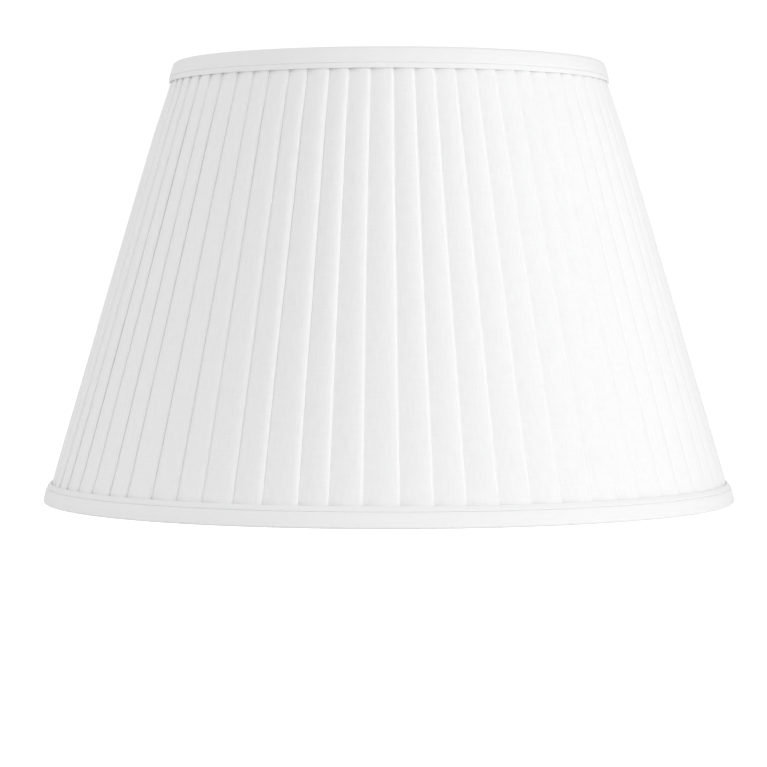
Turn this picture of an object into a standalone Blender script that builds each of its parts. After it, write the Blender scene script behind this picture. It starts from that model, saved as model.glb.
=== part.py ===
"""Pleated empire lamp shade on a strutted wire frame, with a tilting gimbal fitter.

Metres, +Z up, front at -Y. The origin is the centre of the plane that the bottom rim rests on.
Every piece of the wall is a turned ring or cone. Its section is drawn as points of (outward, height):
outward is measured square to the slope from the centre line of the wires, so the pieces stack
from the lining inside (negative) through the wires (zero) to the pleats and the trims (positive).
"""

import math

import bmesh
import bpy
from mathutils import Vector

MM = 0.001

# Overall size
HEIGHT = 285 * MM
PLEAT_RADIUS_AT_BASE = 223 * MM
PLEAT_RADIUS_AT_TOP = 138.6 * MM
SEGMENTS = 72
GAP = 0.3 * MM

# Wire frame
WIRE_DIAMETER = 3 * MM
RING_SIDES = 8
RIM_TO_RING = 3.5 * MM
STRUT_COUNT = 8

# Layers of the wall, measured square to its slope
TAPE_THICKNESS = 0.4 * MM
TAPE_HALF_HEIGHT = 2.2 * MM
COVER_THICKNESS = 1.5 * MM
LINING_THICKNESS = 0.6 * MM
INNER_LEG_THICKNESS = 0.6 * MM
CLOTH_TO_RIM = 2 * MM

# Trims: the outer leg shows, the inner leg covers the edge of the lining
TOP_TRIM_HEIGHT = 13.3 * MM
BOTTOM_TRIM_HEIGHT = 14 * MM
INNER_LEG_HEIGHT = 12 * MM
TRIM_FOLD_THICKNESS = 1 * MM
TOP_TRIM_PROUD = (1.0 * MM, 2.4 * MM)
BOTTOM_TRIM_PROUD = (3.1 * MM, 2.8 * MM)
TRIM_EDGE_ROUND = 1.5 * MM

# Gimbal: two cranked arms carry the fitter ring on their inturned ends
ARM_DIAMETER = 3.5 * MM
ARM_BELOW_RING = 1 * MM
ARM_DROP_RADIUS = 38 * MM
ARM_BEND = 7 * MM
ARM_TIP_RADIUS = 24.9 * MM
PIVOT_HEIGHT = 250 * MM
SLEEVE_LENGTH = 8 * MM
SLEEVE_THICKNESS = 0.9 * MM
SLOT_WIDTH = ARM_DIAMETER + 2 * 0.35 * MM

# Fitter ring and its reducer, with heights measured from the pivot axis
FITTER_RADIUS = 30 * MM
FITTER_HOLE_RADIUS = 21.25 * MM
FITTER_TOP = -6.25 * MM
FITTER_THICKNESS = 1.5 * MM
EAR_OUTER_FACE = 29.3 * MM
EAR_HALF_WIDTH = 5 * MM
PIVOT_CLEARANCE = 0.35 * MM
CLIP_RADIUS = 4.2 * MM
CLIP_THICKNESS = 1.5 * MM
REDUCER_HOLE_RADIUS = 14.5 * MM
REDUCER_FLANGE_RADIUS = 23.5 * MM
REDUCER_FLANGE_THICKNESS = 1.5 * MM
REDUCER_SKIRT_DEPTH = 5.6 * MM
REDUCER_SKIRT_WALL = 1.6 * MM

# Worked out from the dimensions above
TAPER = (PLEAT_RADIUS_AT_BASE - PLEAT_RADIUS_AT_TOP) / HEIGHT
SLANT = math.hypot(1, TAPER)
WIRE_RADIUS = WIRE_DIAMETER / 2
TAPE_OUT = WIRE_RADIUS + GAP + TAPE_THICKNESS
COVER_IN = TAPE_OUT + GAP
COVER_OUT = COVER_IN + COVER_THICKNESS
LINING_OUT = -(WIRE_RADIUS + 1 * MM)
LINING_IN = LINING_OUT - LINING_THICKNESS
INNER_LEG_OUT = LINING_IN - GAP
INNER_LEG_IN = INNER_LEG_OUT - INNER_LEG_THICKNESS
TRIM_IN = COVER_OUT + GAP
ARM_RADIUS = ARM_DIAMETER / 2
BOTTOM_RING_HEIGHT = RIM_TO_RING
TOP_RING_HEIGHT = HEIGHT - RIM_TO_RING
ARM_HEIGHT = TOP_RING_HEIGHT - ARM_BELOW_RING


def wall_radius(outward, height):
    """Distance from the axis of a point this far outward of the wires' cone, at this height."""
    wires = PLEAT_RADIUS_AT_BASE - COVER_OUT * SLANT - TAPER * height
    return wires + outward * SLANT


def clear_scene():
    for obj in list(bpy.data.objects):
        bpy.data.objects.remove(obj, do_unlink=True)


def make_material(name, colour, roughness, metallic=0.0):
    material = bpy.data.materials.new(name)
    material.use_nodes = True
    shader = material.node_tree.nodes["Principled BSDF"]
    shader.inputs["Base Color"].default_value = (*colour, 1.0)
    shader.inputs["Roughness"].default_value = roughness
    shader.inputs["Metallic"].default_value = metallic
    return material


def add_object(name, data, material):
    data.materials.append(material)
    obj = bpy.data.objects.new(name, data)
    bpy.context.scene.collection.objects.link(obj)
    return obj


def mesh_object(name, bm, material):
    bmesh.ops.recalc_face_normals(bm, faces=bm.faces)
    mesh = bpy.data.meshes.new(name)
    bm.to_mesh(mesh)
    bm.free()
    mesh.shade_smooth()
    mesh.set_sharp_from_angle(angle=math.radians(40))
    return add_object(name, mesh, material)


def turned(name, section, material, segments=SEGMENTS):
    """A ring turned about Z from a closed section of (radius, height) points."""
    bm = bmesh.new()
    points = [bm.verts.new((radius, 0, height)) for radius, height in section]
    edges = [bm.edges.new((a, b)) for a, b in zip(points, points[1:] + points[:1])]
    bmesh.ops.spin(
        bm,
        geom=points + edges,
        cent=(0, 0, 0),
        axis=(0, 0, 1),
        angle=math.tau,
        steps=segments,
        use_merge=True,
    )
    return mesh_object(name, bm, material)


def turned_wall(name, section, material):
    """A turned piece of the wall, from a section of (outward, height) points."""
    return turned(name, [(wall_radius(out, z), z) for out, z in section], material)


def wire(name, points, diameter, material):
    """A round wire with flat ends that follows the points."""
    curve = bpy.data.curves.new(name, "CURVE")
    curve.dimensions = "3D"
    curve.bevel_depth = diameter / 2
    curve.bevel_resolution = 2
    curve.use_fill_caps = True
    spline = curve.splines.new("POLY")
    spline.points.add(len(points) - 1)
    for target, point in zip(spline.points, points):
        target.co = (*point, 1.0)
    return add_object(name, curve, material)


def bent(corners, radius, steps=5):
    """The points of a wire bent to one radius at each inner corner."""
    path = [corners[0]]
    for before, corner, after in zip(corners, corners[1:], corners[2:]):
        back = (before - corner).normalized()
        ahead = (after - corner).normalized()
        half = back.angle(ahead) / 2
        centre = corner + (back + ahead).normalized() * radius / math.sin(half)
        start = (corner + back * radius / math.tan(half) - centre).normalized()
        end = (corner + ahead * radius / math.tan(half) - centre).normalized()
        path += [centre + start.slerp(end, i / steps) * radius for i in range(steps + 1)]
    return path + [corners[-1]]


def tube(name, inner, outer, length, material, sides=12):
    """A short sleeve along X, from x = 0 to x = length."""
    bm = bmesh.new()
    section = [(0, inner), (length, inner), (length, outer), (0, outer)]
    points = [bm.verts.new((x, 0, radius)) for x, radius in section]
    edges = [bm.edges.new((a, b)) for a, b in zip(points, points[1:] + points[:1])]
    bmesh.ops.spin(
        bm,
        geom=points + edges,
        cent=(0, 0, 0),
        axis=(1, 0, 0),
        angle=math.tau,
        steps=sides,
        use_merge=True,
    )
    return mesh_object(name, bm, material)


def helper(obj):
    """Hides a shape that only adds to or cuts another one."""
    obj.hide_render = True
    obj.display_type = "WIRE"
    return obj


def boolean(obj, operation, other):
    modifier = obj.modifiers.new(operation.title(), "BOOLEAN")
    modifier.operation = operation
    modifier.object = other


def make_ring(name, height, material):
    centre = wall_radius(0, height)
    angles = [math.tau * i / RING_SIDES for i in range(RING_SIDES)]
    section = [
        (centre + WIRE_RADIUS * math.cos(a), height + WIRE_RADIUS * math.sin(a))
        for a in angles
    ]
    turned(name, section, material)


def make_struts(material):
    """Straight wires from ring to ring, each stopping a gap short of both."""
    foot = Vector((wall_radius(0, BOTTOM_RING_HEIGHT), 0, BOTTOM_RING_HEIGHT))
    head = Vector((wall_radius(0, TOP_RING_HEIGHT), 0, TOP_RING_HEIGHT))
    clear = (head - foot).normalized() * (WIRE_RADIUS + GAP)
    for i in range(STRUT_COUNT):
        strut = wire(f"strut_{i + 1}", [foot + clear, head - clear], WIRE_DIAMETER, material)
        strut.rotation_euler.z = math.tau * (i + 0.5) / STRUT_COUNT


def make_tape(name, height, material):
    """The stitching tape that lies flat on the outside of a ring."""
    inner = WIRE_RADIUS + GAP
    low = height - TAPE_HALF_HEIGHT
    high = height + TAPE_HALF_HEIGHT
    section = [(inner, low), (TAPE_OUT, low), (TAPE_OUT, high), (inner, high)]
    turned_wall(name, section, material)


def make_layer(name, inner, outer, material):
    """A plain cloth cone between the rims."""
    low = CLOTH_TO_RIM
    high = HEIGHT - CLOTH_TO_RIM
    section = [(inner, low), (outer, low), (outer, high), (inner, high)]
    return turned_wall(name, section, material)


def trim_section(from_rim, outer_height, proud_at_edge, proud_at_rim):
    """A folded trim's section. from_rim turns a distance from the rim into a height."""
    outline = [
        (TRIM_IN, outer_height),
        (COVER_OUT + proud_at_edge * 0.85, outer_height),
        (COVER_OUT + proud_at_edge, outer_height - TRIM_EDGE_ROUND / 2),
        (COVER_OUT + proud_at_rim, TRIM_EDGE_ROUND * 1.5),
        (COVER_OUT + proud_at_rim * 0.7, TRIM_EDGE_ROUND * 0.5),
        (COVER_OUT + proud_at_rim * 0.1, 0),
        (LINING_OUT + 0.5 * MM, 0),
        (LINING_IN - 0.2 * MM, TRIM_EDGE_ROUND * 0.4),
        (INNER_LEG_IN, TRIM_EDGE_ROUND * 1.5),
        (INNER_LEG_IN, INNER_LEG_HEIGHT),
        (INNER_LEG_OUT, INNER_LEG_HEIGHT),
        (INNER_LEG_OUT, TRIM_FOLD_THICKNESS + 0.7 * MM),
        (LINING_OUT, TRIM_FOLD_THICKNESS),
        (COVER_OUT, TRIM_FOLD_THICKNESS),
        (TRIM_IN, TRIM_FOLD_THICKNESS + 0.6 * MM),
    ]
    return [(out, from_rim(distance)) for out, distance in outline]


def make_bottom_trim(material):
    section = trim_section(lambda d: d, BOTTOM_TRIM_HEIGHT, *BOTTOM_TRIM_PROUD)
    turned_wall("bottom_trim", section, material)


def make_top_trim(material):
    section = trim_section(lambda d: HEIGHT - d, TOP_TRIM_HEIGHT, *TOP_TRIM_PROUD)
    return turned_wall("top_trim", section, material)


def make_arm_slots(material):
    """One bar through both sides of the wall, where the arms pass the lining and the trim."""
    bpy.ops.mesh.primitive_cube_add(size=1, location=(0, 0, ARM_HEIGHT))
    bar = bpy.context.object
    bar.name = "arm_slots"
    bar.scale = (2 * wall_radius(-WIRE_RADIUS, ARM_HEIGHT), SLOT_WIDTH, SLOT_WIDTH)
    bar.data.materials.append(material)
    return helper(bar)


def make_gimbal_arm(side, sign, wire_material, sleeve_material, clip_material):
    """A cranked arm from the top ring to the pivot, with the sleeve and the clip that go on it."""
    root = wall_radius(-WIRE_RADIUS - GAP, TOP_RING_HEIGHT)
    corners = [
        Vector((root, 0, ARM_HEIGHT)),
        Vector((ARM_DROP_RADIUS, 0, ARM_HEIGHT)),
        Vector((ARM_DROP_RADIUS, 0, PIVOT_HEIGHT)),
        Vector((ARM_TIP_RADIUS, 0, PIVOT_HEIGHT)),
    ]
    turn = 0 if sign > 0 else math.pi
    arm = wire(f"gimbal_arm_{side}", bent(corners, ARM_BEND), ARM_DIAMETER, wire_material)
    arm.rotation_euler.z = turn

    bore = ARM_RADIUS + GAP
    sleeve = tube(f"arm_sleeve_{side}", bore, bore + SLEEVE_THICKNESS, SLEEVE_LENGTH, sleeve_material)
    outer_end = wall_radius(INNER_LEG_IN - GAP, ARM_HEIGHT + bore + SLEEVE_THICKNESS)
    sleeve.location = (sign * (outer_end - SLEEVE_LENGTH), 0, ARM_HEIGHT)
    sleeve.rotation_euler.z = turn

    clip = tube(f"pivot_clip_{side}", bore, CLIP_RADIUS, CLIP_THICKNESS, clip_material)
    clip_end = EAR_OUTER_FACE - FITTER_THICKNESS - PIVOT_CLEARANCE
    clip.location = (sign * (clip_end - CLIP_THICKNESS), 0, PIVOT_HEIGHT)
    clip.rotation_euler.z = turn


def make_ear(sign, pivot, material):
    """An upturned ear: a plate with a round top centred on the pivot axis."""
    bm = bmesh.new()
    foot = FITTER_TOP - FITTER_THICKNESS / 2
    inner = EAR_OUTER_FACE - FITTER_THICKNESS
    arc = [math.pi * i / 10 for i in range(11)]
    outline = [(EAR_HALF_WIDTH * math.cos(a), EAR_HALF_WIDTH * math.sin(a)) for a in arc]
    outline += [(-EAR_HALF_WIDTH, foot), (EAR_HALF_WIDTH, foot)]
    face = bm.faces.new([bm.verts.new((sign * inner, y, z)) for y, z in outline])
    grown = bmesh.ops.extrude_face_region(bm, geom=[face])["geom"]
    moved = [v for v in grown if isinstance(v, bmesh.types.BMVert)]
    bmesh.ops.translate(bm, verts=moved, vec=(sign * FITTER_THICKNESS, 0, 0))
    ear = mesh_object(f"ear_{'right' if sign > 0 else 'left'}", bm, material)
    ear.parent = pivot
    return helper(ear)


def make_fitter(pivot, material):
    """The steel fitter ring with its two ears, drilled for the ends of the arms."""
    bottom = FITTER_TOP - FITTER_THICKNESS
    section = [
        (FITTER_HOLE_RADIUS, bottom),
        (FITTER_RADIUS, bottom),
        (FITTER_RADIUS, FITTER_TOP),
        (FITTER_HOLE_RADIUS, FITTER_TOP),
    ]
    ring = turned("fitter_ring", section, material, segments=48)
    ring.parent = pivot
    for sign in (1, -1):
        boolean(ring, "UNION", make_ear(sign, pivot, material))
    bpy.ops.mesh.primitive_cylinder_add(
        vertices=16,
        radius=ARM_RADIUS + PIVOT_CLEARANCE,
        depth=3 * FITTER_RADIUS,
        rotation=(0, math.pi / 2, 0),
    )
    drill = bpy.context.object
    drill.name = "pivot_drill"
    drill.parent = pivot
    drill.data.materials.append(material)
    boolean(ring, "DIFFERENCE", helper(drill))


def make_reducer(pivot, material):
    """The reducer's flange lies on the fitter ring, and its skirt snaps under it with a bead."""
    low = FITTER_TOP + GAP
    high = low + REDUCER_FLANGE_THICKNESS
    skirt = FITTER_HOLE_RADIUS - 0.35 * MM
    bead_top = FITTER_TOP - FITTER_THICKNESS - 0.4 * MM
    end = low - REDUCER_SKIRT_DEPTH
    section = [
        (REDUCER_HOLE_RADIUS, low),
        (REDUCER_HOLE_RADIUS, high),
        (REDUCER_FLANGE_RADIUS - 0.5 * MM, high),
        (REDUCER_FLANGE_RADIUS, high - 0.5 * MM),
        (REDUCER_FLANGE_RADIUS, low),
        (skirt, low),
        (skirt, bead_top),
        (FITTER_HOLE_RADIUS + 0.35 * MM, bead_top - 0.4 * MM),
        (skirt - 0.3 * MM, end),
        (skirt - REDUCER_SKIRT_WALL, end),
        (skirt - REDUCER_SKIRT_WALL, low),
    ]
    reducer = turned("reducer_ring", section, material, segments=40)
    reducer.parent = pivot


def main():
    clear_scene()
    linen = make_material("pleated_linen", (0.86, 0.86, 0.87), 0.85)
    trim_linen = make_material("trim_linen", (0.84, 0.84, 0.85), 0.85)
    lining_cloth = make_material("lining_cotton", (0.88, 0.87, 0.85), 0.8)
    tape_cloth = make_material("cotton_tape", (0.82, 0.81, 0.78), 0.9)
    coated_wire = make_material("coated_wire", (0.85, 0.85, 0.84), 0.4, 0.1)
    coated_steel = make_material("coated_steel", (0.83, 0.83, 0.82), 0.4, 0.1)
    clip_steel = make_material("clip_steel", (0.6, 0.6, 0.6), 0.35, 1.0)
    plastic = make_material("reducer_plastic", (0.85, 0.85, 0.84), 0.35)

    make_ring("bottom_ring", BOTTOM_RING_HEIGHT, coated_wire)
    make_ring("top_ring", TOP_RING_HEIGHT, coated_wire)
    make_struts(coated_wire)
    make_tape("bottom_tape", BOTTOM_RING_HEIGHT, tape_cloth)
    make_tape("top_tape", TOP_RING_HEIGHT, tape_cloth)

    make_layer("pleated_cover", COVER_IN, COVER_OUT, linen)
    lining = make_layer("lining", LINING_IN, LINING_OUT, lining_cloth)
    make_bottom_trim(trim_linen)
    top_trim = make_top_trim(trim_linen)
    slots = make_arm_slots(lining_cloth)
    boolean(lining, "DIFFERENCE", slots)
    boolean(top_trim, "DIFFERENCE", slots)

    for side, sign in (("right", 1), ("left", -1)):
        make_gimbal_arm(side, sign, coated_wire, lining_cloth, clip_steel)

    pivot = bpy.data.objects.new("fitter_pivot", None)
    pivot.location.z = PIVOT_HEIGHT
    bpy.context.scene.collection.objects.link(pivot)
    make_fitter(pivot, coated_steel)
    make_reducer(pivot, plastic)


main()
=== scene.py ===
# Pleated empire lamp shade with a gimbal fitter: the finished surfaces round the fixed frame.
# Metres, +Z up, front at -Y. Angles round the shade are degrees from the front towards +X.

import math
import random

import bmesh
import bpy
from mathutils import Matrix, Vector, noise


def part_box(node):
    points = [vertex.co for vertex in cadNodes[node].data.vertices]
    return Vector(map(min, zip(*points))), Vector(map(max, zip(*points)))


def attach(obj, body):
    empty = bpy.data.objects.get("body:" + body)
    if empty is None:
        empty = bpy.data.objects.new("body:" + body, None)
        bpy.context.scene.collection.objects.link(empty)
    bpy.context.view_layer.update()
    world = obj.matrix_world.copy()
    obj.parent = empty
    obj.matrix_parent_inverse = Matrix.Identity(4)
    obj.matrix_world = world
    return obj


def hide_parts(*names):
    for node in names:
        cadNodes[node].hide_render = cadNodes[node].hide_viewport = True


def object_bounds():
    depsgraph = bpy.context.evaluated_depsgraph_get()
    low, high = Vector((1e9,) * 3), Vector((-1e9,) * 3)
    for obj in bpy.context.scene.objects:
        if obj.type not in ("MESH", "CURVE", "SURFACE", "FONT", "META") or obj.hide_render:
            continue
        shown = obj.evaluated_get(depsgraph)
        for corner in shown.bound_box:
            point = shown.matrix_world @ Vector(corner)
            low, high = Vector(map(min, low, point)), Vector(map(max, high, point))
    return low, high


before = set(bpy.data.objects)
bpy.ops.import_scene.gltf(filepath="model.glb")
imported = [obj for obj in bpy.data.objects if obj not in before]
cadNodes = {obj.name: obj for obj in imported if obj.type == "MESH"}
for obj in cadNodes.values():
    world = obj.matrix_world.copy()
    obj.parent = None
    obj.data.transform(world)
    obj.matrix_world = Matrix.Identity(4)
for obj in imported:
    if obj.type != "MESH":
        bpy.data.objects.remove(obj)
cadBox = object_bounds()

mm = 0.001
scene = bpy.context.scene


# Camera, floor and light

viewer = {
    "place": (0, -1.85, 0.143),
    "lens": 132.6,
    "tiltDown": 2.07,
    "turnLeft": 0.11,
}

studio = {
    "ambient": 0.836,  # brightness of the white surroundings, as the shade sees them
    "dimmer": 0.6,  # how much darker they are on the right behind the shade
    "dimTowards": (0.5, 0.87, 0),
    "dimFrom": 0.2,  # where the darker part starts and where it is full, as a cosine off that direction
    "dimFull": 0.7,
    "backdrop": 1.05,  # the same surroundings behind the shade
    "floorColour": (0.9, 0.9, 0.9),
    "floorGlow": 0.6,  # seen by the camera only, so that the floor doesn't light the rim
    "floorFill": 0.1,  # a little light from below, as a shade has on its lamp
    "floorSize": 14,
    "boxPlace": (1.37, -0.82, 0.30),
    "boxSize": (0.50, 0.80),
    "boxPower": 6.6,
    "boxTarget": (0, 0, 0.14),
}


def addCamera():
    data = bpy.data.cameras.new("camera")
    data.lens = viewer["lens"]
    data.sensor_width = 36
    camera = bpy.data.objects.new("camera", data)
    camera.location = viewer["place"]
    camera.rotation_euler = (math.radians(90 - viewer["tiltDown"]), 0, math.radians(viewer["turnLeft"]))
    scene.collection.objects.link(camera)
    scene.camera = camera


def addSurroundings():
    world = bpy.data.worlds.new("studio")
    world.use_nodes = True
    nodes, links = world.node_tree.nodes, world.node_tree.links
    nodes.clear()
    lit = nodes.new("ShaderNodeBackground")
    seen = nodes.new("ShaderNodeBackground")
    seen.inputs["Strength"].default_value = studio["backdrop"]
    for background in (lit, seen):
        background.inputs["Color"].default_value = (1, 1, 1, 1)
    side = nodes.new("ShaderNodeVectorMath")
    side.operation = "DOT_PRODUCT"
    side.inputs[1].default_value = studio["dimTowards"]
    links.new(nodes.new("ShaderNodeTexCoord").outputs["Generated"], side.inputs[0])
    dim = nodes.new("ShaderNodeMapRange")
    dim.interpolation_type = "SMOOTHSTEP"
    dim.inputs["From Min"].default_value = studio["dimFrom"]
    dim.inputs["From Max"].default_value = studio["dimFull"]
    dim.inputs["To Min"].default_value = studio["ambient"]
    dim.inputs["To Max"].default_value = studio["ambient"] * (1 - studio["dimmer"])
    links.new(side.outputs["Value"], dim.inputs["Value"])
    links.new(dim.outputs[0], lit.inputs["Strength"])
    path = nodes.new("ShaderNodeLightPath")
    mix = nodes.new("ShaderNodeMixShader")
    out = nodes.new("ShaderNodeOutputWorld")
    links.new(path.outputs["Is Camera Ray"], mix.inputs[0])
    links.new(lit.outputs[0], mix.inputs[1])
    links.new(seen.outputs[0], mix.inputs[2])
    links.new(mix.outputs[0], out.inputs["Surface"])
    scene.world = world


def addFloor():
    bpy.ops.mesh.primitive_plane_add(size=studio["floorSize"], location=(0, 0, 0))
    floor = bpy.context.object
    floor.name = "floor"
    material, shader = newMaterial("paleFloor", studio["floorColour"], 0.9)
    shader.inputs["Emission Color"].default_value = (1, 1, 1, 1)
    tree = material.node_tree
    seen = tree.nodes.new("ShaderNodeLightPath").outputs["Is Camera Ray"]
    glow = maths(tree, "ADD", maths(tree, "MULTIPLY", seen, studio["floorGlow"]), studio["floorFill"])
    tree.links.new(glow, shader.inputs["Emission Strength"])
    floor.data.materials.append(material)


def setView():
    scene.view_settings.view_transform = "Standard"  # white cloth stays white
    scene.view_settings.look = "None"


def addSoftbox():
    data = bpy.data.lights.new("softbox", "AREA")
    data.shape = "RECTANGLE"
    data.size, data.size_y = studio["boxSize"]
    data.energy = studio["boxPower"]
    softbox = bpy.data.objects.new("softbox", data)
    place = Vector(studio["boxPlace"])
    softbox.location = place
    softbox.rotation_euler = (Vector(studio["boxTarget"]) - place).to_track_quat("-Z", "Y").to_euler()
    softbox.visible_camera = False
    scene.collection.objects.link(softbox)


# Shader groups and materials

cloths = {
    "pleatLinen": {
        "dark": (0.905, 0.905, 0.907), "light": (0.945, 0.945, 0.947),
        "threads": 2300.0,  # to the metre
        "slub": 0.6,  # how strongly the thick threads show
        "relief": 0.035 * mm,
    },
    "trimLinen": {
        "dark": (0.885, 0.885, 0.887), "light": (0.92, 0.92, 0.922),
        "threads": 2300.0, "slub": 0.3, "relief": 0.02 * mm, "turn": 45,
    },
    "liningCotton": {
        "dark": (0.82, 0.81, 0.79), "light": (0.88, 0.87, 0.85),
        "threads": 3200.0, "slub": 0.15, "relief": 0.04 * mm,
    },
    "ringTape": {
        "dark": (0.72, 0.71, 0.67), "light": (0.83, 0.82, 0.79),
        "threads": 1800.0, "slub": 0.3, "relief": 0.08 * mm, "source": "Object",
    },
}

coatings = {
    "coatedWire": {"colour": (0.85, 0.85, 0.84), "roughness": 0.38, "ripple": 900.0, "relief": 0.05 * mm},
    "coatedSteel": {"colour": (0.83, 0.83, 0.82), "roughness": 0.36, "ripple": 700.0, "relief": 0.05 * mm},
    "reducerPlastic": {
        "colour": (0.85, 0.85, 0.84), "roughness": 0.34, "ripple": 1500.0, "relief": 0.015 * mm,
    },
}


def newMaterial(name, colour, roughness):
    material = bpy.data.materials.new(name)
    material.use_nodes = True
    shader = material.node_tree.nodes["Principled BSDF"]
    shader.inputs["Base Color"].default_value = (*colour, 1)
    shader.inputs["Roughness"].default_value = roughness
    return material, shader


def socket(tree, name, kind, value=None, output=False):
    made = tree.interface.new_socket(
        name=name, in_out="OUTPUT" if output else "INPUT", socket_type=f"NodeSocket{kind}"
    )
    if value is not None:
        made.default_value = value


def maths(tree, operation, first, second=None):
    # one Math node; a number goes on the socket, anything else is linked to it
    node = tree.nodes.new("ShaderNodeMath")
    node.operation = operation
    for place, value in enumerate((first, second)):
        if isinstance(value, (int, float)):
            node.inputs[place].default_value = value
        elif value is not None:
            tree.links.new(value, node.inputs[place])
    return node.outputs[0]


def stretchedNoise(tree, across, along, detail=2):
    # a noise whose grain is one thread wide and many threads long
    place = tree.nodes.new("ShaderNodeCombineXYZ")
    tree.links.new(across, place.inputs[0])
    tree.links.new(along, place.inputs[1])
    grain = tree.nodes.new("ShaderNodeTexNoise")
    grain.inputs["Scale"].default_value = 1
    grain.inputs["Detail"].default_value = detail
    tree.links.new(place.outputs[0], grain.inputs["Vector"])
    return grain.outputs["Fac"]


def buildWeaveGroup():
    # plain weave: warp and weft threads cross over and under, some of them thicker for a stretch
    tree = bpy.data.node_groups.new("plainWeave", "ShaderNodeTree")
    socket(tree, "Cloth", "Vector")
    socket(tree, "Threads", "Float", 2000.0)
    socket(tree, "Slub", "Float", 0.5)
    socket(tree, "Height", "Float", output=True)
    socket(tree, "Shade", "Float", output=True)
    inside = tree.nodes.new("NodeGroupInput")
    outside = tree.nodes.new("NodeGroupOutput")
    links = tree.links

    wander = tree.nodes.new("ShaderNodeTexNoise")  # threads never run quite straight
    wander.inputs["Scale"].default_value = 45
    wander.inputs["Detail"].default_value = 1
    links.new(inside.outputs["Cloth"], wander.inputs["Vector"])
    drift = tree.nodes.new("ShaderNodeVectorMath")
    drift.operation = "SCALE"
    drift.inputs["Scale"].default_value = 0.0011
    links.new(wander.outputs["Color"], drift.inputs[0])
    moved = tree.nodes.new("ShaderNodeVectorMath")
    links.new(inside.outputs["Cloth"], moved.inputs[0])
    links.new(drift.outputs[0], moved.inputs[1])
    counted = tree.nodes.new("ShaderNodeVectorMath")
    counted.operation = "SCALE"
    links.new(moved.outputs[0], counted.inputs[0])
    links.new(inside.outputs["Threads"], counted.inputs["Scale"])
    split = tree.nodes.new("ShaderNodeSeparateXYZ")
    links.new(counted.outputs[0], split.inputs[0])
    u, v = split.outputs[0], split.outputs[1]

    def threadHeight(across, along, sign):
        crown = maths(tree, "ABSOLUTE", maths(tree, "SINE", maths(tree, "MULTIPLY", across, math.pi)))
        which = maths(tree, "FLOOR", across)
        phase = maths(tree, "MULTIPLY", maths(tree, "ADD", maths(tree, "ADD", along, which), -0.5), math.pi)
        crossing = maths(tree, "MULTIPLY", maths(tree, "COSINE", phase), 0.45 * sign)
        return maths(tree, "MULTIPLY", crown, maths(tree, "ADD", crossing, 0.55))

    surface = maths(tree, "MAXIMUM", threadHeight(u, v, 1), threadHeight(v, u, -1))
    warpSlub = stretchedNoise(tree, maths(tree, "MULTIPLY", u, 0.4), maths(tree, "MULTIPLY", v, 0.04))
    weftSlub = stretchedNoise(tree, maths(tree, "MULTIPLY", v, 0.55), maths(tree, "MULTIPLY", u, 0.03))
    softWeft = maths(tree, "MULTIPLY", maths(tree, "ADD", weftSlub, -0.5), 0.6)
    streak = maths(tree, "ADD", maths(tree, "ADD", warpSlub, -0.5), softWeft)
    streak = maths(tree, "MULTIPLY", streak, inside.outputs["Slub"])
    links.new(maths(tree, "ADD", surface, streak), outside.inputs["Height"])
    links.new(maths(tree, "ADD", maths(tree, "MULTIPLY", streak, 2.0), 0.5), outside.inputs["Shade"])
    return tree


def buildPeelGroup():
    # sprayed and baked powder: a soft ripple, a fine speckle and a little dust
    tree = bpy.data.node_groups.new("powderCoat", "ShaderNodeTree")
    socket(tree, "Place", "Vector")
    socket(tree, "Ripple", "Float", 900.0)
    socket(tree, "Height", "Float", output=True)
    socket(tree, "Speckle", "Float", output=True)
    socket(tree, "Dust", "Float", output=True)
    inside = tree.nodes.new("NodeGroupInput")
    outside = tree.nodes.new("NodeGroupOutput")

    def grain(scale, detail):
        made = tree.nodes.new("ShaderNodeTexNoise")
        made.inputs["Detail"].default_value = detail
        tree.links.new(inside.outputs["Place"], made.inputs["Vector"])
        if isinstance(scale, (int, float)):
            made.inputs["Scale"].default_value = scale
        else:
            tree.links.new(scale, made.inputs["Scale"])
        return made.outputs["Fac"]

    tree.links.new(grain(inside.outputs["Ripple"], 1), outside.inputs["Height"])
    tree.links.new(grain(maths(tree, "MULTIPLY", inside.outputs["Ripple"], 4), 2), outside.inputs["Speckle"])
    tree.links.new(grain(60, 3), outside.inputs["Dust"])
    return tree


def useGroup(material, group, **values):
    node = material.node_tree.nodes.new("ShaderNodeGroup")
    node.node_tree = group
    for name, value in values.items():
        node.inputs[name].default_value = value
    return node


def coordinates(material, kind):
    return material.node_tree.nodes.new("ShaderNodeTexCoord").outputs[kind]


def blendColours(material, factor, dark, light, low=0.0, high=1.0):
    # a colour ramp from dark to light; its output goes to a colour or, through its value, to a number
    ramp = material.node_tree.nodes.new("ShaderNodeValToRGB")
    ramp.color_ramp.elements[0].position = low
    ramp.color_ramp.elements[0].color = (*dark, 1)
    ramp.color_ramp.elements[1].position = high
    ramp.color_ramp.elements[1].color = (*light, 1)
    material.node_tree.links.new(factor, ramp.inputs[0])
    return ramp.outputs["Color"]


def bump(material, shader, height, distance, strength=1.0):
    node = material.node_tree.nodes.new("ShaderNodeBump")
    node.inputs["Distance"].default_value = distance
    node.inputs["Strength"].default_value = strength
    material.node_tree.links.new(height, node.inputs["Height"])
    material.node_tree.links.new(node.outputs["Normal"], shader.inputs["Normal"])


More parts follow.
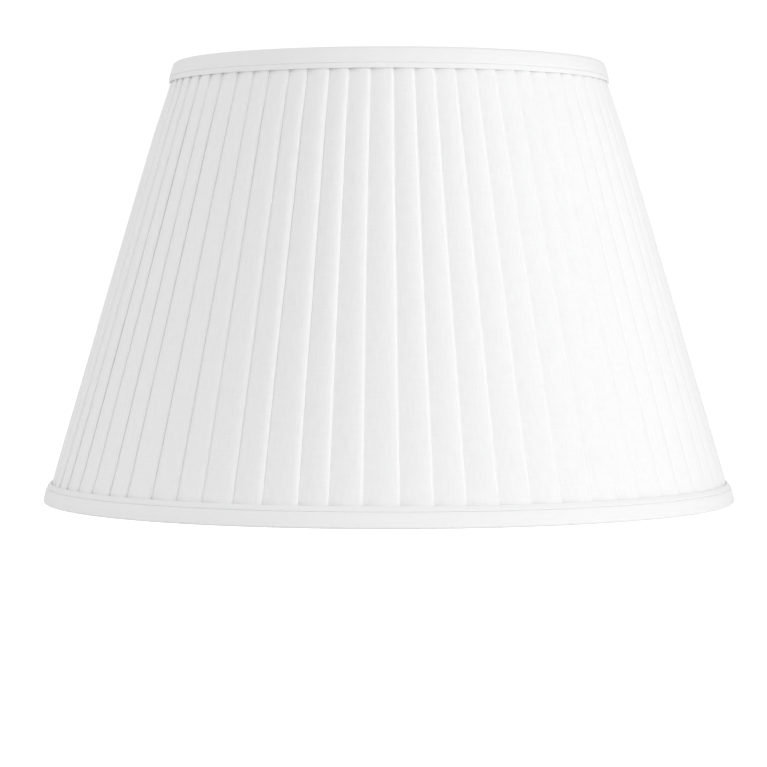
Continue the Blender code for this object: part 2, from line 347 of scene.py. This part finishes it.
def clothMaterial(name, dark, light, threads, slub, relief, turn=0.0, source="UV"):
    # woven cloth; turn is the angle of the threads to the piece's own run, 45 for a bias strip
    material, shader = newMaterial(name, light, 0.88)
    links = material.node_tree.links
    shader.inputs["Sheen Weight"].default_value = 0.3
    shader.inputs["Sheen Roughness"].default_value = 0.45
    shader.inputs["Specular IOR Level"].default_value = 0.25
    mapping = material.node_tree.nodes.new("ShaderNodeMapping")
    mapping.inputs["Rotation"].default_value = (0, 0, math.radians(turn))
    links.new(coordinates(material, source), mapping.inputs["Vector"])
    weave = useGroup(material, weaveGroup, Threads=threads, Slub=slub)
    links.new(mapping.outputs[0], weave.inputs["Cloth"])
    shade = blendColours(material, weave.outputs["Shade"], dark, light, 0.2, 0.8)
    links.new(shade, shader.inputs["Base Color"])
    rough = blendColours(material, weave.outputs["Height"], (0.95,) * 3, (0.8,) * 3)
    links.new(rough, shader.inputs["Roughness"])
    bump(material, shader, weave.outputs["Height"], relief)
    return material


def coatedMaterial(name, colour, roughness, ripple, relief):
    material, shader = newMaterial(name, colour, roughness)
    links = material.node_tree.links
    shader.inputs["Coat Weight"].default_value = 0.15
    shader.inputs["Coat Roughness"].default_value = 0.25
    peel = useGroup(material, peelGroup, Ripple=ripple)
    links.new(coordinates(material, "Object"), peel.inputs["Place"])
    dusty = tuple(channel * 0.93 for channel in colour)
    shade = blendColours(material, peel.outputs["Dust"], dusty, colour, 0.3, 0.6)
    links.new(shade, shader.inputs["Base Color"])
    rough = blendColours(material, peel.outputs["Speckle"], (roughness - 0.08,) * 3, (roughness + 0.1,) * 3)
    links.new(rough, shader.inputs["Roughness"])
    bump(material, shader, peel.outputs["Height"], relief)
    return material


def springSteelMaterial():
    material, shader = newMaterial("zincSteel", (0.62, 0.63, 0.64), 0.32)
    links = material.node_tree.links
    shader.inputs["Metallic"].default_value = 1.0
    peel = useGroup(material, peelGroup, Ripple=500.0)
    mapping = material.node_tree.nodes.new("ShaderNodeMapping")
    mapping.inputs["Scale"].default_value = (6, 1, 1)  # rolling marks lie across the pivot's line
    links.new(coordinates(material, "Object"), mapping.inputs["Vector"])
    links.new(mapping.outputs[0], peel.inputs["Place"])
    colour = blendColours(material, peel.outputs["Dust"], (0.5, 0.5, 0.5), (0.66, 0.67, 0.69), 0.3, 0.7)
    links.new(colour, shader.inputs["Base Color"])
    rough = blendColours(material, peel.outputs["Speckle"], (0.24,) * 3, (0.42,) * 3)
    links.new(rough, shader.inputs["Roughness"])
    bump(material, shader, peel.outputs["Height"], 0.03 * mm)
    return material


# The wall: every layer is placed by outward, square to the slope from the wires, and height


def ringPlace(node):
    low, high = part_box(node)
    wireRadius = (high.z - low.z) / 2
    return high.x - wireRadius, (low.z + high.z) / 2


ringLow = ringPlace("bottom_ring")
ringHigh = ringPlace("top_ring")
taper = (ringLow[0] - ringHigh[0]) / (ringHigh[1] - ringLow[1])
slant = math.hypot(1, taper)
shadeTop = cadBox[1].z


def wallRadius(outward, height):
    return ringLow[0] - taper * (height - ringLow[1]) + outward * slant


def around(angle, radius, height):
    turn = math.radians(angle)
    return Vector((radius * math.sin(turn), -radius * math.cos(turn), height))


def onWall(angle, outward, height):
    return around(angle, wallRadius(outward, height), height)


def wobble(seed, a, b=0.0):
    # a smooth value from about -1 to 1
    return noise.noise(Vector((a, b, seed * 7.31)))


def smoothStep(value, low, high):
    t = min(max((value - low) / (high - low), 0), 1)
    return t * t * (3 - 2 * t)


def gridMesh(name, columns, cloth, skipped=lambda c, r: False, closed=False):
    # columns of points become one sheet; cloth gives each point's place on the flat cloth
    tall = len(columns[0])
    verts = [point for column in columns for point in column]
    faces, corners = [], []
    last = len(columns) if closed else len(columns) - 1
    for c in range(last):
        d = (c + 1) % len(columns)
        for r in range(tall - 1):
            if skipped(c, r):
                continue
            faces.append((c * tall + r, d * tall + r, d * tall + r + 1, c * tall + r + 1))
            corners += [cloth(c, r), cloth(c + 1, r), cloth(c + 1, r + 1), cloth(c, r + 1)]
    mesh = bpy.data.meshes.new(name)
    mesh.from_pydata(verts, [], faces)
    layer = mesh.uv_layers.new(name="cloth")
    layer.data.foreach_set("uv", [value for corner in corners for value in corner])
    obj = bpy.data.objects.new(name, mesh)
    scene.collection.objects.link(obj)
    return obj


def only(obj):
    for other in bpy.context.selected_objects:
        other.select_set(False)
    obj.select_set(True)
    bpy.context.view_layer.objects.active = obj


def applyModifier(obj, kind, **values):
    only(obj)
    modifier = obj.modifiers.new(kind.lower(), kind)
    for name, value in values.items():
        setattr(modifier, name, value)
    bpy.ops.object.modifier_apply(modifier=modifier.name)


def finishSheet(obj, thickness, material, body, slot, *nodes):
    applyModifier(obj, "SOLIDIFY", thickness=thickness, offset=0.0, use_even_offset=False)
    obj.data.materials.append(material)
    obj.data.shade_smooth()
    obj.data.set_sharp_from_angle(angle=math.radians(60))
    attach(obj, body)
    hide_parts(*nodes)


# Pleated cover

pleats = {
    "count": 68,
    "firstFold": -178.8,  # place of one fold at mid height, in degrees; the cloth's ends meet there
    "spread": 0.26,  # how unevenly the folds are laid, in degrees
    "lean": 0.35,  # mean lean towards +X on the way down, in degrees: twice this in front, none behind
    "leanEach": 0.16,  # how much that differs from fold to fold
    "sway": 0.07,  # how much a fold wanders from its straight line, in degrees
    "clothPerPleat": 36.6 * mm,
    "thickness": 0.4 * mm,
    "layerGap": 0.42 * mm,
    # these are in mm outward, at the top, the middle, low down and the rim
    "crest": (3.4, 4.5, 4.45, 4.0),
    "valley": (1.75, 2.1, 2.2, 2.7),
    "roll": (2.7, 4.0, 4.1, 3.3),  # how far the fold rounds over, in mm
    "bulk": (0.9, 0.9, 0.88, 0.8),  # how thick the round of a fold is, as a share of the step
    "rise": 1.9,  # how soon a face comes up from under the fold before it
    "uneven": {"crest": 0.16 * mm, "valley": 0.1 * mm, "roll": 0.25, "rise": 0.5},
    "nose": 0.17,  # how high the fold's outermost line lies in that thickness
    "panelPoints": 9,
    "rollPoints": 9,
    "rows": 30,
    "edgeInset": 2 * mm,
    "creaseAt": (16.3, 232 * mm),  # one soft crease across a face: its angle and height
    "creaseSize": (0.5, 22 * mm, 0.35 * mm),  # how wide in degrees, how tall, how deep
}


def downTheWall(values, height, unit=mm):
    # values at the top, the middle, low down and the rim, joined smoothly
    top, middle, low, rim = values
    part = height / shadeTop
    value = rim + (low - rim) * smoothStep(part, 0.02, 0.1)
    value += (middle - low) * smoothStep(part, 0.1, 0.5)
    value += (top - middle) * smoothStep(part, 0.82, 0.96)
    return value * unit


def foldAngles():
    # each fold's place at mid height, its lean and its own seed
    pitch = 360 / pleats["count"]
    draw = random.Random(11)
    folds = []
    for i in range(pleats["count"]):
        place = pleats["firstFold"] + i * pitch + draw.uniform(-1, 1) * pleats["spread"]
        lean = pleats["lean"] * (1 + math.cos(math.radians(place)))
        lean += draw.uniform(-pleats["leanEach"], pleats["leanEach"])
        folds.append((place, lean, i))
    return folds


def foldAngle(fold, height):
    place, lean, seed = fold
    part = height / shadeTop
    return place + lean * (0.5 - part) + pleats["sway"] * wobble(seed, part * 3.0)


def pleatSection(index, before, after, height):
    # one pleat's points at one height, as (angle, outward): the face that shows, the round of its
    # fold, the cloth turned back under it, and the start of the next face under that
    radius = wallRadius(3 * mm, height)
    degreesPer = math.degrees(1 / radius)
    width = (after - before) / degreesPer
    back = min((pleats["clothPerPleat"] - width) / 2, 0.92 * width)
    part = height / shadeTop
    uneven = pleats["uneven"]
    crest = downTheWall(pleats["crest"], height) + uneven["crest"] * wobble(index + 100, part * 2.2)
    valley = downTheWall(pleats["valley"], height) + uneven["valley"] * wobble(index + 200, part * 2.0)
    roll = downTheWall(pleats["roll"], height) * (1 + uneven["roll"] * wobble(index + 300, part * 2.5))
    gap = pleats["layerGap"]
    rise = pleats["rise"] + uneven["rise"] * wobble(index + 400, part)
    creaseAngle, creaseHeight = pleats["creaseAt"]
    creaseWide, creaseTall, creaseDeep = pleats["creaseSize"]

    def face(t):
        out = valley + (crest - valley) * (1 - (1 - t) ** rise)
        line = creaseAngle + (height - creaseHeight) / creaseTall * 0.35
        across = (before + (after - before) * t - line) / creaseWide
        up = (height - creaseHeight) / creaseTall
        return out - creaseDeep * math.exp(-across * across - up * up)

    bulk = downTheWall(pleats["bulk"], height, 1)
    under = crest - max((crest - valley) * bulk, 0.45 * mm)

    def turnedBack(distance):
        return min(under, face(max(1 - distance / width, 0)) - gap)

    points = []
    count = pleats["panelPoints"]
    for k in range(count):
        t = k / (count - 1)
        points.append((before + (after - before) * t - roll * degreesPer * t, face(t)))
    nose = under + (crest - under) * pleats["nose"]
    count = pleats["rollPoints"]
    for k in range(1, count + 1):
        turn = math.pi * (0.5 - k / count)
        long, tall = (roll, crest - nose) if turn > 0 else (0.3 * roll, nose - under)
        points.append((after - long * (1 - math.cos(turn)) * degreesPer, nose + tall * math.sin(turn)))
    for distance in (roll + (back - roll) * 0.5, back):
        points.append((after - distance * degreesPer, turnedBack(distance)))
    points.append((after - (back + 0.25 * mm) * degreesPer, turnedBack(back) - gap / 2))
    for distance in (back, back * 0.45):
        points.append((after - distance * degreesPer, min(valley, turnedBack(distance) - gap)))
    return points


def makePleatedCover():
    folds = foldAngles()
    count = pleats["count"]
    low, high = pleats["edgeInset"], shadeTop - pleats["edgeInset"]
    heights = [low + (high - low) * r / (pleats["rows"] - 1) for r in range(pleats["rows"])]
    rowsOfPoints = []
    for height in heights:
        turns = [foldAngle(fold, height) for fold in folds]
        turns = [turns[-1] - 360] + turns
        row = []
        for i in range(count):
            row += pleatSection(i, turns[i], turns[i + 1], height)
        rowsOfPoints.append([onWall(angle, out, height) for angle, out in row])
    columns = [list(column) for column in zip(*rowsOfPoints)]
    middle = pleats["rows"] // 2
    run = [0.0]  # distance along the cloth, measured at mid height
    for a, b in zip(columns, columns[1:]):
        run.append(run[-1] + (b[middle] - a[middle]).length)
    cover = gridMesh("pleatedCover", columns, lambda c, r: (run[c], (heights[r] - low) * slant))
    finishSheet(cover, pleats["thickness"], pleatLinen, "shade", "pleated_linen", "pleated_cover")


# Trims: a bias strip folded over each rim, its edges turned under

trims = {
    "segments": 288,
    "joinAt": 180,  # where the strip's ends overlap, in degrees; the rest is in mm
    "thickness": 0.5,
    "hem": 3.3,  # from the hem line to the edge next to the pleats
    "rimZone": 3.3,
    "overlap": 9,
    "sunk": 0.55,  # how far the strip's start lies under its end
    "swell": 0.12,
    "rise": (0.16, 0.07),  # slow and quick wander of the edge
}

# outward places, in mm: of the edge next to the pleats, the hem line, the rim, and the edge turned under
bottomShape = {"tall": 13.1, "edge": 5.6, "band": 6.6, "rim": 6.5, "hidden": 4.5, "groove": 0.9, "seed": 51}
topShape = {"tall": 13.3, "edge": 4.6, "band": 5.15, "rim": 5.15, "hidden": 3.85, "groove": 0.7, "seed": 61}


def arcPoints(centre, size, start, end, steps):
    # points of an ellipse's arc in (outward, distance from the rim), angles in degrees
    made = []
    for k in range(steps + 1):
        turn = math.radians(start + (end - start) * k / steps)
        made.append((centre[0] + size[0] * math.cos(turn), centre[1] + size[1] * math.sin(turn)))
    return made


def trimPath(shape):
    # the strip's section from its hidden outer edge, over the rim, to its hidden inner edge, in mm:
    # each point is its place outward and its distance from the rim
    hidden, edge, band, rim = (shape[name] for name in ("hidden", "edge", "band", "rim"))
    fold = (edge - hidden) / 2
    crown = shape["tall"] - trims["thickness"] / 2 - fold
    line = shape["tall"] - trims["hem"]
    zone = trims["rimZone"]
    points = [(hidden, line + 0.6), (hidden, (line + crown) / 2), (hidden, crown - 0.5)]
    points += arcPoints(((edge + hidden) / 2, crown), (fold, fold), 180, 0, 8)

    def face(distance):
        if distance > line:  # the hem leans in to the pleats
            return band - (band - edge) * ((distance - line) / (crown - line)) ** 1.6
        return rim + (band - rim) * (distance - zone) / (line - zone)

    for distance, dip in (
        ((line + crown) / 2 + 0.5, 0), (line + 1.3, 0), (line + 0.7, 0.05), (line + 0.3, 0.25),
        (line, 0.8), (line - 0.25, 0.3), (line - 0.6, 0.12), (line - 1.6, 0.0), (line - 3.2, -0.05),
        (line - 5.0, -0.03), (3.7, -0.02), (3.2, 0.06), (2.8, 0.24), (2.45, 0.08),
    ):
        points.append((face(distance) - dip * shape["groove"], distance))
    # over the rim, along the inside, and turned in at the inner edge
    points += arcPoints((rim - 2.3, 2.6), (2.25, 2.32), -14, -90, 8)
    points += [(1.5, 0.28), (-1.5, 0.28)]
    points += arcPoints((-2.2, 1.95), (1.65, 1.67), -90, -176, 5)
    points += [(-3.85, 4.5), (-3.9, 8), (-3.86, 10.6)]
    points += arcPoints((-3.62, 11.5), (0.24, 0.3), 180, 0, 4)
    points += [(-3.38, 8), (-3.38, 4)]
    return points


def trimColumn(path, shape, fromRim, angle, swell, rise, sunk):
    # the strip's section at one place round the rim
    column = []
    for out, distance in path:
        showing = smoothStep(out, 1.0, 3.5)
        inwards = Vector((-out, max(5 - distance, 0))).normalized() * sunk
        outward = out + swell * showing + inwards.x
        shift = rise * smoothStep(distance, 4, shape["tall"]) * showing + inwards.y
        column.append(onWall(angle, outward * mm, fromRim((distance + shift) * mm)))
    return column


def makeTrim(name, node, shape, fromRim, window=None):
    path = trimPath(shape)
    seed = shape["seed"]
    count = trims["segments"]
    meanRadius = wallRadius(shape["edge"] * mm, fromRim(shape["tall"] / 2 * mm))
    lap = math.degrees(trims["overlap"] * mm / meanRadius)
    start = trims["joinAt"] - 360
    slow, quick = trims["rise"]
    columns = []
    for c in range(count + 1):
        angle = start + (360 + lap) * c / count
        sunk = trims["sunk"] * (1 - smoothStep(angle - start, lap, 2.2 * lap))
        swell = trims["swell"] * (wobble(seed, angle * 0.12) + 0.5 * wobble(seed + 1, angle * 0.5))
        swell *= 1 - smoothStep(angle - start, 360 - 2 * lap, 360 + lap)
        rise = slow * wobble(seed + 2, angle * 0.05) + quick * wobble(seed + 3, angle * 0.3)
        columns.append(trimColumn(path, shape, fromRim, angle, swell, rise, sunk))
    run = [0.0]
    for a, b in zip(path, path[1:]):
        run.append(run[-1] + math.hypot(b[0] - a[0], b[1] - a[1]) * mm)
    if fromRim(0) < fromRim(mm):  # on the lower rim the path runs the other way round
        columns = [column[::-1] for column in columns]
        run = [run[-1] - value for value in run[::-1]]
    girth = math.radians(360 + lap) * meanRadius

    def skipped(c, r):
        return window is not None and window((columns[c][r] + columns[c + 1][r + 1]) / 2)

    trim = gridMesh(name, columns, lambda c, r: (girth * c / count, run[r]), skipped)
    finishSheet(trim, trims["thickness"] * mm, trimLinen, "shade", "trim_linen", node)


# Lining

lining = {
    "outward": -2.8 * mm,
    "segments": 160,
    "rows": 26,
    "thickness": 0.35 * mm,
    "edgeInset": 2 * mm,
    "seams": (90, 270),
    "seamDepth": 0.45 * mm,
    "pull": 0.35 * mm,  # how far the stretched cloth stands in from the straight wall
}


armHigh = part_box("gimbal_arm_right")[1]  # its end at the top ring, one wire radius out in y and z


def armWindow(point):
    # true inside the slit that an arm passes through
    beside, above = abs(point.y), abs(point.z - armHigh.z + armHigh.y)
    return beside < armHigh.y + 0.7 * mm and above < armHigh.y + 0.9 * mm and abs(point.x) < armHigh.x


def makeLining():
    low, high = lining["edgeInset"], shadeTop - lining["edgeInset"]
    count = lining["segments"]
    rows = lining["rows"]
    heights = [low + (high - low) * r / (rows - 1) for r in range(rows)]
    columns = []
    for c in range(count):
        angle = 360 * (c + 0.5) / count
        column = []
        for height in heights:
            part = height / shadeTop
            taut = math.sin(math.pi * part)
            out = lining["outward"] - lining["pull"] * taut * (0.6 + 0.8 * wobble(41, angle * 0.05, part * 2))
            for seam in lining["seams"]:
                out -= lining["seamDepth"] * math.exp(-((angle - seam) * 1.1) ** 2)
            column.append(onWall(angle, out, height))
        columns.append(column[::-1])
    heights.reverse()
    girth = math.tau * wallRadius(lining["outward"], shadeTop / 2)

    def skipped(c, r):
        after = columns[(c + 1) % count]
        return armWindow((columns[c][r] + after[r + 1]) / 2)

    sheet = gridMesh(
        "liningSheet", columns, lambda c, r: (girth * c / count, heights[r] * slant), skipped, closed=True
    )
    finishSheet(sheet, lining["thickness"], liningCotton, "shade", "lining_cotton", "lining")
    print("lining: stretched inside the wires")


# Cloth sleeves on the arms

sleeve = {
    "turns": 1.3,
    "points": 36,
    "thickness": 0.35 * mm,
    "flare": 1.3 * mm,
    "pinch": 0.25 * mm,
}


def makeSleeve(side, sign):
    # a short strip wound round the arm, spread at the end that hides the slit
    low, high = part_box(f"arm_sleeve_{side}")
    centre = (low.z + high.z) / 2
    length = high.x - low.x
    outerEnd = max(abs(low.x), abs(high.x))
    inner = armHigh.y + 0.3 * mm
    along = 9
    columns = []
    for k in range(sleeve["points"] + 1):
        part = k / sleeve["points"]
        turn = math.tau * sleeve["turns"] * part
        column = []
        for j in range(along):
            step = j / (along - 1)  # from the open end to the wall
            spread = sleeve["flare"] * smoothStep(step, 0.55, 1.0) ** 1.5
            pinch = sleeve["pinch"] * math.exp(-((step - 0.45) * 6) ** 2)
            fold = 0.12 * mm * math.sin(turn * 7) * smoothStep(step, 0.3, 1.0)
            radius = inner + 0.45 * mm * part + spread + 0.2 * mm - pinch + fold
            across = sign * (outerEnd - length * (1 - step))
            column.append(Vector((across, sign * radius * math.sin(turn), centre + radius * math.cos(turn))))
        columns.append(column)
    strip = math.tau * sleeve["turns"] * (inner + 0.3 * mm)
    width = length * 1.25
    cloth = gridMesh(
        f"armSleeve_{side}", columns, lambda c, r: (strip * c / sleeve["points"], width * r / (along - 1))
    )
    finishSheet(cloth, sleeve["thickness"], liningCotton, "shade", "lining_cotton", f"arm_sleeve_{side}")


# Rigid pieces: helpers


def leaveEdit():
    bpy.ops.object.mode_set(mode="OBJECT")


def pick(obj, test, kind="faces"):
    # in edit mode, selects the faces, edges or vertices that pass the test
    modes = {"faces": "FACE", "edges": "EDGE", "verts": "VERT"}
    bpy.ops.mesh.select_mode(type=modes[kind])
    bpy.ops.mesh.select_all(action="DESELECT")
    bm = bmesh.from_edit_mesh(obj.data)
    bm.normal_update()
    for item in getattr(bm, kind):
        item.select_set(bool(test(item)))
    bm.select_flush_mode()
    bmesh.update_edit_mesh(obj.data)


def extrude(x=0.0, y=0.0, z=0.0):
    bpy.ops.mesh.extrude_region_move(TRANSFORM_OT_translate={"value": (x, y, z)})


def fromAxis(point):
    return math.hypot(point.x, point.y)


def disc(name, radius, low, high, sides):
    # a closed disc about Z, left in edit mode with nothing selected
    bpy.ops.object.select_all(action="DESELECT")
    bpy.ops.mesh.primitive_cylinder_add(
        vertices=sides, radius=radius, depth=high - low, location=(0, 0, (low + high) / 2)
    )
    obj = bpy.context.object
    obj.name = name
    bpy.ops.object.transform_apply(location=True, rotation=True, scale=True)
    bpy.ops.object.mode_set(mode="EDIT")
    return obj


def insetTo(obj, radii):
    # steps both end faces of a disc inwards to each radius in turn
    pick(obj, lambda face: abs(face.normal.z) > 0.9)
    now = max(fromAxis(vert.co) for vert in bmesh.from_edit_mesh(obj.data).verts)
    for radius in radii:
        bpy.ops.mesh.inset(thickness=now - radius, depth=0)
        now = radius


def softenEdges(obj, width, segments=2, sharpness=40):
    applyModifier(
        obj, "BEVEL", width=width, segments=segments, limit_method="ANGLE",
        angle_limit=math.radians(sharpness), harden_normals=False,
    )


def cutBy(obj, cutter, operation="DIFFERENCE"):
    applyModifier(obj, "BOOLEAN", operation=operation, object=cutter, solver="EXACT")
    bpy.data.objects.remove(cutter, do_unlink=True)


def finishRigid(obj, material, body, node):
    obj.data.materials.clear()
    obj.data.materials.append(material)
    only(obj)
    bpy.ops.object.shade_smooth_by_angle(angle=math.radians(35))
    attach(obj, body)
    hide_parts(node)


# Gimbal arms

arm = {
    "sides": 20,
    "bendRadius": 7 * mm,
    "dropAt": 38 * mm,
    "bendSteps": 9,
    "tipRound": 0.5 * mm,
}


def makeArm(side, sign):
    low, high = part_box(f"gimbal_arm_{side}")
    radius = high.y
    level, pivot = high.z - radius, low.z + radius
    root = sign * max(abs(low.x), abs(high.x))
    tip = sign * min(abs(low.x), abs(high.x))
    drop = sign * arm["dropAt"]
    bend = arm["bendRadius"]
    bpy.ops.object.select_all(action="DESELECT")
    bpy.ops.mesh.primitive_circle_add(
        vertices=arm["sides"], radius=radius, fill_type="NGON",
        location=(root, 0, level), rotation=(0, math.pi / 2, 0),
    )
    obj = bpy.context.object
    obj.name = f"gimbalArm_{side}"
    bpy.ops.object.transform_apply(location=True, rotation=True, scale=True)
    bpy.ops.object.mode_set(mode="EDIT")
    bpy.ops.mesh.select_all(action="SELECT")
    extrude(x=drop + sign * bend - root)
    bpy.ops.mesh.spin(
        steps=arm["bendSteps"], angle=sign * math.pi / 2,
        center=(drop + sign * bend, 0, level - bend), axis=(0, 1, 0),
    )
    extrude(z=(pivot + bend) - (level - bend))
    bpy.ops.mesh.spin(
        steps=arm["bendSteps"], angle=-sign * math.pi / 2,
        center=(drop - sign * bend, 0, pivot + bend), axis=(0, 1, 0),
    )
    extrude(x=tip - (drop - sign * bend))
    bpy.ops.mesh.bevel(offset=arm["tipRound"], segments=3, affect="EDGES")
    bpy.ops.mesh.select_all(action="SELECT")
    bpy.ops.mesh.remove_doubles(threshold=0.01 * mm)
    bpy.ops.mesh.normals_make_consistent(inside=False)
    leaveEdit()
    finishRigid(obj, coatedWire, "shade", f"gimbal_arm_{side}")


# Fitter ring, its reducer and the clips

fitter = {
    "sides": 96,
    "thickness": 1.5 * mm,
    "hole": 21.25 * mm,
    "rib": (28.3 * mm, 27.6 * mm, 25.8 * mm, 25.1 * mm),
    "ribHeight": 0.5 * mm,
    "earRound": 5 * mm,
    "earFace": 29.3 * mm,
    "pinHole": 2.1 * mm,
    "edge": 0.25 * mm,
}


def makeEar(sign, pivot, foot):
    # an upturned tab with a round head about the pin
    thick = fitter["thickness"]
    bpy.ops.object.select_all(action="DESELECT")
    bpy.ops.mesh.primitive_cylinder_add(
        vertices=48, radius=fitter["earRound"], depth=thick,
        location=(sign * (fitter["earFace"] - thick / 2), 0, pivot), rotation=(0, math.pi / 2, 0),
    )
    ear = bpy.context.object
    bpy.ops.object.transform_apply(location=True, rotation=True, scale=True)
    bpy.ops.object.mode_set(mode="EDIT")
    bpy.ops.mesh.select_all(action="SELECT")
    bpy.ops.mesh.bisect(plane_co=(0, 0, pivot), plane_no=(0, 0, 1), use_fill=True, clear_inner=True)
    pick(ear, lambda face: face.normal.z < -0.9)
    extrude(z=foot - pivot)
    leaveEdit()
    softenEdges(ear, fitter["edge"])
    return ear


def makeFitterRing():
    low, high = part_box("fitter_ring")
    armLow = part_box("gimbal_arm_right")[0]
    pivot = armLow.z + armHigh.y
    top = low.z + fitter["thickness"]
    ring = disc("fitterRing", high.y, low.z, top, fitter["sides"])
    insetTo(ring, (*fitter["rib"], fitter["hole"]))
    bpy.ops.mesh.bridge_edge_loops()
    outer, inner = fitter["rib"][1] + 0.1 * mm, fitter["rib"][2] - 0.1 * mm
    pick(ring, lambda vert: inner < fromAxis(vert.co) < outer, "verts")
    bpy.ops.transform.translate(value=(0, 0, fitter["ribHeight"]))
    leaveEdit()
    softenEdges(ring, fitter["edge"])
    for sign in (1, -1):
        cutBy(ring, makeEar(sign, pivot, low.z + 0.3 * mm), "UNION")
    bpy.ops.mesh.primitive_cylinder_add(
        vertices=32, radius=fitter["pinHole"], depth=3 * high.x, location=(0, 0, pivot),
        rotation=(0, math.pi / 2, 0),
    )
    cutBy(ring, bpy.context.object)
    finishRigid(ring, coatedSteel, "fitter", "fitter_ring")


reducer = {
    "sides": 96,
    "hole": 14.5 * mm,
    "flangeThick": 1.5 * mm,
    "skirt": (20.9 * mm, 19.3 * mm),
    "lip": (22.6 * mm, 15.6 * mm),
    "lipDepth": 0.25 * mm,
    "bead": 0.6 * mm,
    "fingers": 6,
    "slit": 1.6 * mm,
    "edge": 0.2 * mm,
}


def makeReducer():
    low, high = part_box("reducer_ring")
    flangeLow = high.z - reducer["flangeThick"]
    ring = disc("reducerRing", high.x, flangeLow, high.z, reducer["sides"])
    skirtOut, skirtIn = reducer["skirt"]
    lipOut, lipIn = reducer["lip"]
    insetTo(ring, (lipOut, lipOut - 0.4 * mm, skirtOut, skirtIn, lipIn + 0.4 * mm, lipIn, reducer["hole"]))
    bpy.ops.mesh.bridge_edge_loops()

    def isSunk(face):
        inside = lipIn + 0.3 * mm < fromAxis(face.calc_center_median()) < lipOut - 0.3 * mm
        return face.normal.z > 0.9 and inside

    pick(ring, isSunk)
    bpy.ops.transform.translate(value=(0, 0, -reducer["lipDepth"]))
    middle = (skirtOut + skirtIn) / 2

    def isSkirtRoot(face):
        return face.normal.z < -0.9 and abs(fromAxis(face.calc_center_median()) - middle) < 0.4 * mm

    pick(ring, isSkirtRoot)
    deep = flangeLow - low.z
    for part, grow in ((0.62, 0.0), (0.1, reducer["bead"]), (0.28, -1.3 * reducer["bead"])):
        extrude(z=-deep * part)
        if grow:
            bm = bmesh.from_edit_mesh(ring.data)
            for vert in bm.verts:
                if vert.select and fromAxis(vert.co) > middle:
                    outward = Vector((vert.co.x, vert.co.y, 0)).normalized()
                    vert.co += outward * grow
            bmesh.update_edit_mesh(ring.data)
    leaveEdit()
    softenEdges(ring, reducer["edge"])
    for k in range(reducer["fingers"] // 2):
        tall = deep * 0.8
        bpy.ops.mesh.primitive_cube_add(
            size=1, location=(0, 0, low.z + tall / 2 - 0.5 * mm),
            scale=(2.4 * skirtOut, reducer["slit"], tall),
            rotation=(0, 0, math.radians(30 + 360 * k / reducer["fingers"])),
        )
        cutBy(ring, bpy.context.object)
    finishRigid(ring, reducerPlastic, "fitter", "reducer_ring")


clip = {
    "sides": 36,
    "teeth": 6,
    "slot": 0.5 * mm,
    "rim": 0.75 * mm,
    "sheet": 0.5 * mm,
    "edge": 0.08 * mm,
}


def makeClip(side, sign):
    # a push-on washer: a flat rim and a dished middle cut into teeth that grip the arm
    low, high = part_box(f"pivot_clip_{side}")
    radius = high.y
    pivot = (low.z + high.z) / 2
    bore = armHigh.y + 0.05 * mm
    washer = disc(f"pivotClip_{side}", radius, 0, clip["sheet"], clip["sides"])
    insetTo(washer, (radius - clip["rim"], (radius + bore) / 2 - 0.2 * mm, bore))
    bpy.ops.mesh.bridge_edge_loops()
    rimIn = radius - clip["rim"]
    for limit, lift in ((rimIn - 0.1 * mm, 0.45), (bore + 0.2 * mm, 0.45)):
        pick(washer, lambda vert: fromAxis(vert.co) < limit, "verts")
        bpy.ops.transform.translate(value=(0, 0, lift * mm))
    leaveEdit()
    softenEdges(washer, clip["edge"], segments=1)
    for k in range(clip["teeth"] // 2):
        bpy.ops.mesh.primitive_cube_add(
            size=1, location=(0, 0, 0), scale=(2 * rimIn, clip["slot"], 8 * mm),
            rotation=(0, 0, math.radians(360 * k / clip["teeth"])),
        )
        cutBy(washer, bpy.context.object)
    # stand it on the pivot's line, dish towards the arm's tip
    face = max(abs(low.x), abs(high.x))
    turn = Matrix.Rotation(-sign * math.pi / 2, 4, "Y")
    washer.data.transform(Matrix.Translation((sign * face, 0, pivot)) @ turn)
    washer.data.update()
    finishRigid(washer, zincSteel, "shade", f"pivot_clip_{side}")


# Carried-over nodes


def repaint(node, material):
    obj = cadNodes[node]
    for place in obj.material_slots:
        place.material = material


def repaintFrame():
    for node in cadNodes:
        if node.startswith("strut") or node in ("top_ring", "bottom_ring"):
            repaint(node, coatedWire)
        if node.endswith("_tape"):
            repaint(node, ringTape)


# Build

weaveGroup = buildWeaveGroup()
peelGroup = buildPeelGroup()
pleatLinen = clothMaterial("pleatLinen", **cloths["pleatLinen"])
trimLinen = clothMaterial("trimLinen", **cloths["trimLinen"])
liningCotton = clothMaterial("liningCotton", **cloths["liningCotton"])
ringTape = clothMaterial("ringTape", **cloths["ringTape"])
coatedWire = coatedMaterial("coatedWire", **coatings["coatedWire"])
coatedSteel = coatedMaterial("coatedSteel", **coatings["coatedSteel"])
reducerPlastic = coatedMaterial("reducerPlastic", **coatings["reducerPlastic"])
zincSteel = springSteelMaterial()
print("materials ready")

addCamera()
setView()
addSurroundings()
addFloor()
addSoftbox()
print("camera, floor and light ready")

makePleatedCover()
makeTrim("bottomTrim", "bottom_trim", bottomShape, lambda distance: distance)
makeTrim("topTrim", "top_trim", topShape, lambda distance: shadeTop - distance, armWindow)
makeLining()
for side, sign in (("right", 1), ("left", -1)):
    makeArm(side, sign)
    makeSleeve(side, sign)
    makeClip(side, sign)
print("gimbal arms, sleeves and clips ready")
makeFitterRing()
makeReducer()
print("fitter ready")
repaintFrame()
print("all pieces ready")
